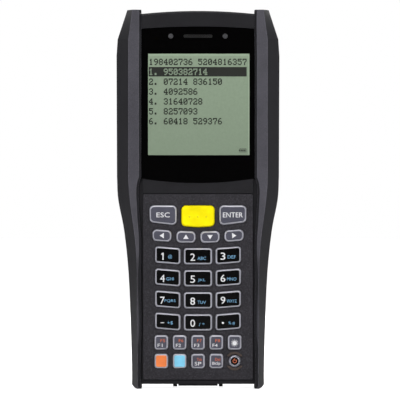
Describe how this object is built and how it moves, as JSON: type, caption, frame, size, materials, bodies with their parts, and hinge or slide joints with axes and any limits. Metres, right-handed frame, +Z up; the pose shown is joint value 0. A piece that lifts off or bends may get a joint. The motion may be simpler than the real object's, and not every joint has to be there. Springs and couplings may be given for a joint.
{
  "type": "portable barcode data terminal",
  "caption": "Hand-held data terminal with bumper rails, a display, a raised keypad, a scan window in its head and a hinged battery cover at the back.",
  "frame": {"origin": "middle of the box around the part, at the height of the flat tips of the two rails that it stands on", "axes": "+Z up the length of the terminal, towards the scan window; +X to the user's right; keys and display face -Y"},
  "size_m": [0.0726, 0.034, 0.1685],
  "materials": {
    "shell_plastic": "fine moulded grain",
    "rail_plastic": "fine moulded grain, slightly soft",
    "cover_plastic": "fine moulded grain",
    "latch_plastic": "satin with ribs",
    "panel_plastic": "sandy texture",
    "seal_rubber": "matt",
    "mat_rubber": "matt silicone",
    "screw_steel": "bright plated",
    "grille_steel": "black coated",
    "lens_black": "polished, printed black behind a clear window",
    "display_glass": "pale green reflective display",
    "clear_plastic": "clear, frosted end",
    "inner_white": "plain moulded",
    "inner_black": "plain moulded",
    "guard_print": "brown printed arcs",
    "board_green": "solder mask",
    "scan_tint": "deep red tinted window",
    "battery_wrap": "shrink film",
    "contact_gold": "gold plated",
    "key_grey": "satin grey with a clear bevelled rim",
    "key_black": "black with a clear bevelled rim",
    "key_yellow": "satin yellow",
    "key_orange": "satin orange",
    "key_blue": "satin light blue",
    "key_power_silver": "plated ring"
  },
  "bodies": {
    "terminal": {"front_housing": "shell_plastic", "rear_housing": "shell_plastic", "right_rail": "rail_plastic", "left_rail": "rail_plastic", "housing_gasket": "seal_rubber", "housing_screws": "screw_steel", "screen_lens": "lens_black", "display_module": "display_glass", "display_holder": "inner_white", "light_pipes": "clear_plastic", "speaker_grille": "grille_steel", "speaker": "inner_black", "keypad_panel": "panel_plastic", "power_guard": "guard_print", "keypad_mat": "mat_rubber", "main_board": "board_green", "scan_engine": "inner_black", "scan_window": "scan_tint", "vibration_motor": "screw_steel", "battery_pack": "battery_wrap", "battery_contacts": "inner_black", "hinge_pin": "screw_steel", "dock_connector": "inner_black", "dock_pins": "contact_gold", "dock_catches": "shell_plastic", "strap_bar": "screw_steel"},
    "battery_cover": {"battery_cover": "cover_plastic"},
    "battery_latch": {"battery_latch": "latch_plastic"},
    "key_escape": {"key_escape": "key_grey"},
    "key_scan": {"key_scan": "key_yellow"},
    "key_enter": {"key_enter": "key_grey"},
    "key_arrow_left": {"key_arrow_left": "key_grey"},
    "key_arrow_up": {"key_arrow_up": "key_grey"},
    "key_arrow_down": {"key_arrow_down": "key_grey"},
    "key_arrow_right": {"key_arrow_right": "key_grey"},
    "key_1": {"key_1": "key_black"},
    "key_2": {"key_2": "key_black"},
    "key_3": {"key_3": "key_black"},
    "key_4": {"key_4": "key_black"},
    "key_5": {"key_5": "key_black"},
    "key_6": {"key_6": "key_black"},
    "key_7": {"key_7": "key_black"},
    "key_8": {"key_8": "key_black"},
    "key_9": {"key_9": "key_black"},
    "key_minus": {"key_minus": "key_black"},
    "key_0": {"key_0": "key_black"},
    "key_point": {"key_point": "key_black"},
    "key_f1": {"key_f1": "key_grey"},
    "key_f2": {"key_f2": "key_grey"},
    "key_f3": {"key_f3": "key_grey"},
    "key_f4": {"key_f4": "key_grey"},
    "key_light": {"key_light": "key_grey"},
    "key_orange": {"key_orange": "key_orange"},
    "key_blue": {"key_blue": "key_blue"},
    "key_space": {"key_space": "key_grey"},
    "key_back": {"key_back": "key_grey"},
    "key_power": {"key_power": "key_power_silver"}
  },
  "joints": [
    {"name": "battery_cover_hinge", "type": "hinge", "parent": "terminal", "child": "battery_cover", "pos_m": [0, 0.0077, 0.0823], "axis": [1, 0, 0], "range_deg": [0, 95]},
    {"name": "battery_latch_slide", "type": "slide", "parent": "battery_cover", "child": "battery_latch", "axis": [0, 0, 1], "range_m": [0, 0.002]},
    {"name": "key_escape_press", "type": "slide", "parent": "terminal", "child": "key_escape", "axis": [0, 1, 0], "range_m": [0, 0.0009], "stiffness_N_per_m": 600, "springref_m": -0.0006},
    {"name": "key_scan_press", "type": "slide", "parent": "terminal", "child": "key_scan", "axis": [0, 1, 0], "range_m": [0, 0.0009], "stiffness_N_per_m": 600, "springref_m": -0.0006},
    {"name": "key_enter_press", "type": "slide", "parent": "terminal", "child": "key_enter", "axis": [0, 1, 0], "range_m": [0, 0.0009], "stiffness_N_per_m": 600, "springref_m": -0.0006},
    {"name": "key_arrow_left_press", "type": "slide", "parent": "terminal", "child": "key_arrow_left", "axis": [0, 1, 0], "range_m": [0, 0.0009], "stiffness_N_per_m": 600, "springref_m": -0.0006},
    {"name": "key_arrow_up_press", "type": "slide", "parent": "terminal", "child": "key_arrow_up", "axis": [0, 1, 0], "range_m": [0, 0.0009], "stiffness_N_per_m": 600, "springref_m": -0.0006},
    {"name": "key_arrow_down_press", "type": "slide", "parent": "terminal", "child": "key_arrow_down", "axis": [0, 1, 0], "range_m": [0, 0.0009], "stiffness_N_per_m": 600, "springref_m": -0.0006},
    {"name": "key_arrow_right_press", "type": "slide", "parent": "terminal", "child": "key_arrow_right", "axis": [0, 1, 0], "range_m": [0, 0.0009], "stiffness_N_per_m": 600, "springref_m": -0.0006},
    {"name": "key_1_press", "type": "slide", "parent": "terminal", "child": "key_1", "axis": [0, 1, 0], "range_m": [0, 0.0009], "stiffness_N_per_m": 600, "springref_m": -0.0006},
    {"name": "key_2_press", "type": "slide", "parent": "terminal", "child": "key_2", "axis": [0, 1, 0], "range_m": [0, 0.0009], "stiffness_N_per_m": 600, "springref_m": -0.0006},
    {"name": "key_3_press", "type": "slide", "parent": "terminal", "child": "key_3", "axis": [0, 1, 0], "range_m": [0, 0.0009], "stiffness_N_per_m": 600, "springref_m": -0.0006},
    {"name": "key_4_press", "type": "slide", "parent": "terminal", "child": "key_4", "axis": [0, 1, 0], "range_m": [0, 0.0009], "stiffness_N_per_m": 600, "springref_m": -0.0006},
    {"name": "key_5_press", "type": "slide", "parent": "terminal", "child": "key_5", "axis": [0, 1, 0], "range_m": [0, 0.0009], "stiffness_N_per_m": 600, "springref_m": -0.0006},
    {"name": "key_6_press", "type": "slide", "parent": "terminal", "child": "key_6", "axis": [0, 1, 0], "range_m": [0, 0.0009], "stiffness_N_per_m": 600, "springref_m": -0.0006},
    {"name": "key_7_press", "type": "slide", "parent": "terminal", "child": "key_7", "axis": [0, 1, 0], "range_m": [0, 0.0009], "stiffness_N_per_m": 600, "springref_m": -0.0006},
    {"name": "key_8_press", "type": "slide", "parent": "terminal", "child": "key_8", "axis": [0, 1, 0], "range_m": [0, 0.0009], "stiffness_N_per_m": 600, "springref_m": -0.0006},
    {"name": "key_9_press", "type": "slide", "parent": "terminal", "child": "key_9", "axis": [0, 1, 0], "range_m": [0, 0.0009], "stiffness_N_per_m": 600, "springref_m": -0.0006},
    {"name": "key_minus_press", "type": "slide", "parent": "terminal", "child": "key_minus", "axis": [0, 1, 0], "range_m": [0, 0.0009], "stiffness_N_per_m": 600, "springref_m": -0.0006},
    {"name": "key_0_press", "type": "slide", "parent": "terminal", "child": "key_0", "axis": [0, 1, 0], "range_m": [0, 0.0009], "stiffness_N_per_m": 600, "springref_m": -0.0006},
    {"name": "key_point_press", "type": "slide", "parent": "terminal", "child": "key_point", "axis": [0, 1, 0], "range_m": [0, 0.0009], "stiffness_N_per_m": 600, "springref_m": -0.0006},
    {"name": "key_f1_press", "type": "slide", "parent": "terminal", "child": "key_f1", "axis": [0, 1, 0], "range_m": [0, 0.0009], "stiffness_N_per_m": 600, "springref_m": -0.0006},
    {"name": "key_f2_press", "type": "slide", "parent": "terminal", "child": "key_f2", "axis": [0, 1, 0], "range_m": [0, 0.0009], "stiffness_N_per_m": 600, "springref_m": -0.0006},
    {"name": "key_f3_press", "type": "slide", "parent": "terminal", "child": "key_f3", "axis": [0, 1, 0], "range_m": [0, 0.0009], "stiffness_N_per_m": 600, "springref_m": -0.0006},
    {"name": "key_f4_press", "type": "slide", "parent": "terminal", "child": "key_f4", "axis": [0, 1, 0], "range_m": [0, 0.0009], "stiffness_N_per_m": 600, "springref_m": -0.0006},
    {"name": "key_light_press", "type": "slide", "parent": "terminal", "child": "key_light", "axis": [0, 1, 0], "range_m": [0, 0.0009], "stiffness_N_per_m": 600, "springref_m": -0.0006},
    {"name": "key_orange_press", "type": "slide", "parent": "terminal", "child": "key_orange", "axis": [0, 1, 0], "range_m": [0, 0.0009], "stiffness_N_per_m": 600, "springref_m": -0.0006},
    {"name": "key_blue_press", "type": "slide", "parent": "terminal", "child": "key_blue", "axis": [0, 1, 0], "range_m": [0, 0.0009], "stiffness_N_per_m": 600, "springref_m": -0.0006},
    {"name": "key_space_press", "type": "slide", "parent": "terminal", "child": "key_space", "axis": [0, 1, 0], "range_m": [0, 0.0009], "stiffness_N_per_m": 600, "springref_m": -0.0006},
    {"name": "key_back_press", "type": "slide", "parent": "terminal", "child": "key_back", "axis": [0, 1, 0], "range_m": [0, 0.0009], "stiffness_N_per_m": 600, "springref_m": -0.0006},
    {"name": "key_power_press", "type": "slide", "parent": "terminal", "child": "key_power", "axis": [0, 1, 0], "range_m": [0, 0.0009], "stiffness_N_per_m": 600, "springref_m": -0.0006}
  ]
}
